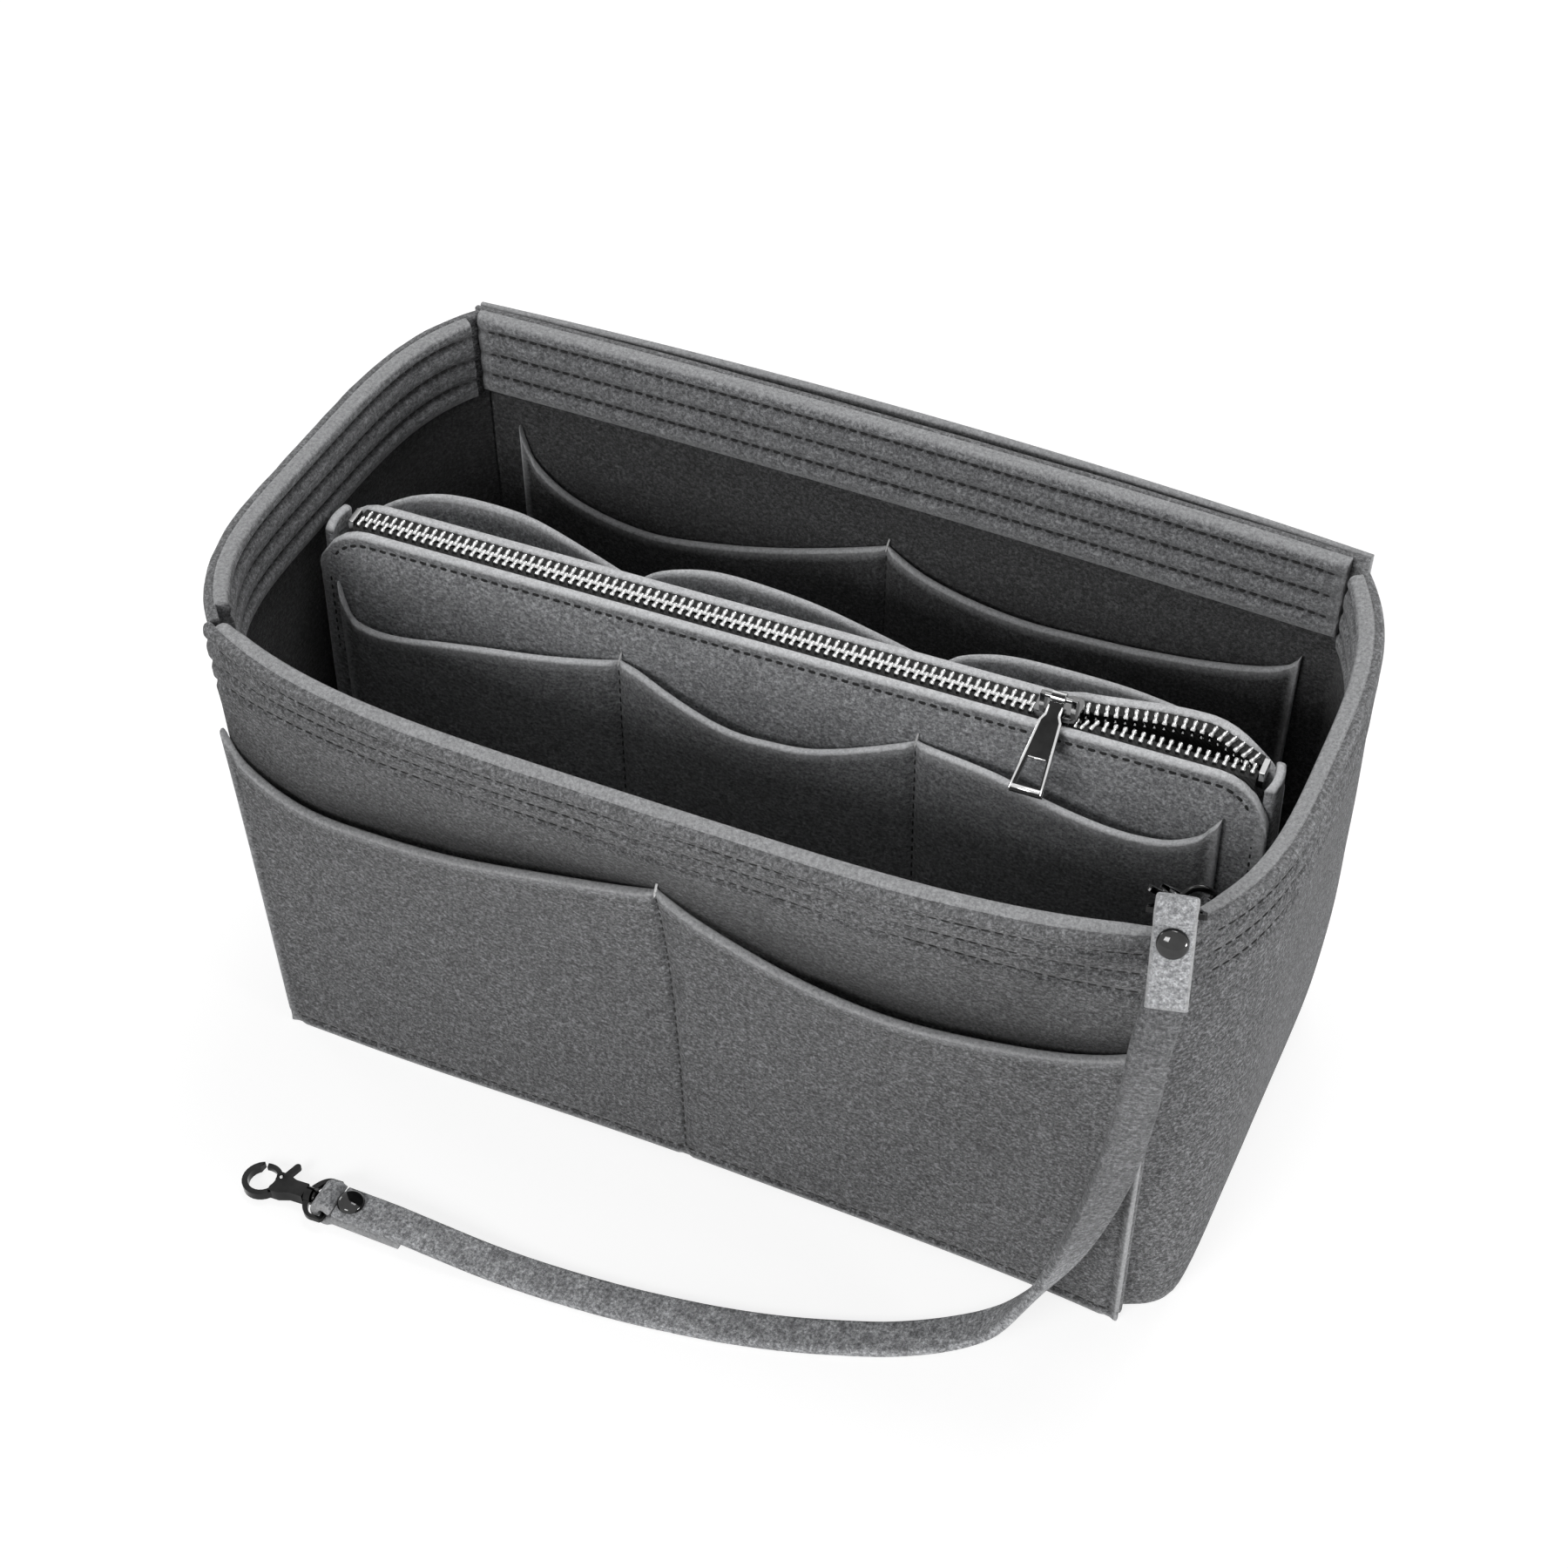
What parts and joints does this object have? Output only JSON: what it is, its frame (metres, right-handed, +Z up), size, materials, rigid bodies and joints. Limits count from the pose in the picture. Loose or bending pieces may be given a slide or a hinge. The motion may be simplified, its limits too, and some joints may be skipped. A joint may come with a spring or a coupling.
{
  "type": "purse organizer insert",
  "caption": "Grey felt organizer that stands in a handbag: open body with slip pockets, a lift-out zip pouch and a felt key strap with trigger clasps.",
  "frame": {"origin": "under the middle of the base, on the surface that the organizer stands on", "axes": "+X along the length to the right, +Y to the back, +Z up"},
  "size_m": [0.3022, 0.2204, 0.1728],
  "materials": {
    "felt": "heathered grey felt",
    "felt_inner": "heathered grey felt",
    "tape": "woven zip tape",
    "silver": "polished",
    "black_nickel": "dark polished plating"
  },
  "bodies": {
    "body": {"front_panel": "felt", "back_panel": "felt", "left_side_panel": "felt", "right_side_panel": "felt", "base_panel": "felt", "front_facing": "felt", "back_facing": "felt", "left_facing": "felt", "right_facing": "felt", "front_outer_pocket": "felt", "back_outer_pocket": "felt", "inner_back_pocket": "felt_inner", "inner_front_pocket": "felt_inner", "key_strap": "felt", "strap_upper_fold": "felt", "strap_far_fold": "felt", "upper_rivet_cap": "black_nickel", "upper_rivet_post": "black_nickel", "far_rivet_cap": "black_nickel", "far_rivet_post": "black_nickel", "d_ring": "black_nickel", "d_ring_loop": "felt", "upper_clasp_bail": "black_nickel", "upper_clasp_hook": "black_nickel", "upper_clasp_pin": "silver", "far_clasp_bail": "black_nickel"},
    "pouch": {"pouch_front_panel": "felt", "pouch_rear_panel": "felt", "pouch_gusset": "felt", "pouch_front_pocket": "felt", "pouch_rear_pocket": "felt", "zip_teeth_front": "silver", "zip_teeth_rear": "silver", "zip_tape_front": "tape", "zip_tape_rear": "tape", "zip_left_stop": "silver", "zip_right_stop": "silver"},
    "zip_slider": {"slider_body": "black_nickel", "slider_crown": "black_nickel"},
    "pull": {"zip_pull": "black_nickel"},
    "upper_lever": {"upper_clasp_lever": "black_nickel"},
    "far_hook": {"far_clasp_hook": "black_nickel", "far_clasp_pin": "silver"},
    "far_lever": {"far_clasp_lever": "black_nickel"}
  },
  "joints": [
    {"name": "pouch_lift", "type": "slide", "parent": "body", "child": "pouch", "axis": [0, 0, 1], "range_m": [0, 0.175]},
    {"name": "zip_slide", "type": "slide", "parent": "pouch", "child": "zip_slider", "axis": [0.9992, 0.0401, 0], "range_m": [-0.199, 0.048], "deforming": ["zip_teeth_front", "zip_teeth_rear", "zip_tape_front", "zip_tape_rear"]},
    {"name": "pull_hinge", "type": "hinge", "parent": "zip_slider", "child": "pull", "pos_m": [0.07446, 0.00426, 0.1448], "axis": [-0.9992, -0.0401, 0], "range_deg": [0, 222]},
    {"name": "upper_lever_hinge", "type": "hinge", "parent": "body", "child": "upper_lever", "pos_m": [0.12871, -0.06238, 0.15819], "axis": [-0.2491, -0.6578, -0.7108], "range_deg": [0, 20], "stiffness_Nm_per_rad": 0.01, "springref_deg": -11.46},
    {"name": "far_swivel", "type": "hinge", "parent": "body", "child": "far_hook", "pos_m": [-0.0823, -0.1293, 0.0045], "axis": [-0.9973, -0.023, -0.069], "continuous": true},
    {"name": "far_lever_hinge", "type": "hinge", "parent": "far_hook", "child": "far_lever", "pos_m": [-0.0994, -0.12779, 0.00332], "axis": [-0.0691, -0.0005, 0.9976], "range_deg": [0, 28], "stiffness_Nm_per_rad": 0.01, "springref_deg": -11.46}
  ]
}
